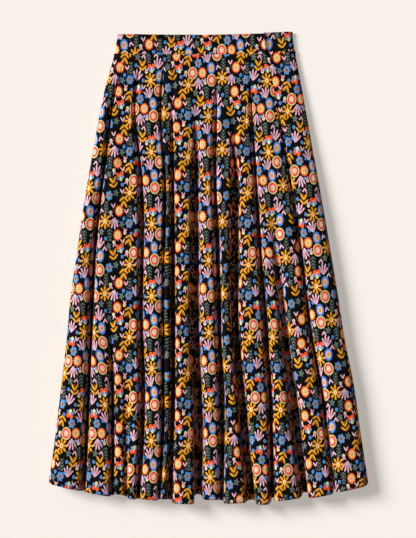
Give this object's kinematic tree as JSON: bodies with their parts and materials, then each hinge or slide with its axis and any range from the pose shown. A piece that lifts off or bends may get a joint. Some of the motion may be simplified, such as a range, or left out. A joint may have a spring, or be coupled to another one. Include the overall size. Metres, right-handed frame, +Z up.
{
  "type": "full midi skirt",
  "caption": "Full flared midi skirt in dark printed cotton, laid flat, with a narrow fitted waistband, a concealed side zip and soft vertical folds opening towards a curved hem.",
  "frame": {"origin": "middle of the laid skirt's footprint, on the surface it rests on", "axes": "+Z up from the surface, +Y along the skirt towards the waist, +X across it towards the viewer's right, which is the wearer's left"},
  "size_m": [0.5726, 0.8478, 0.0356],
  "materials": {
    "printed_cotton": "matte woven cotton, near-black ground under a dense small flower print",
    "zip_tape": "matte black woven tape"
  },
  "bodies": {
    "root": {"front_panel": "printed_cotton", "back_panel": "printed_cotton", "waistband_front": "printed_cotton", "waistband_back": "printed_cotton", "side_zip": "zip_tape"}
  },
  "joints": []
}
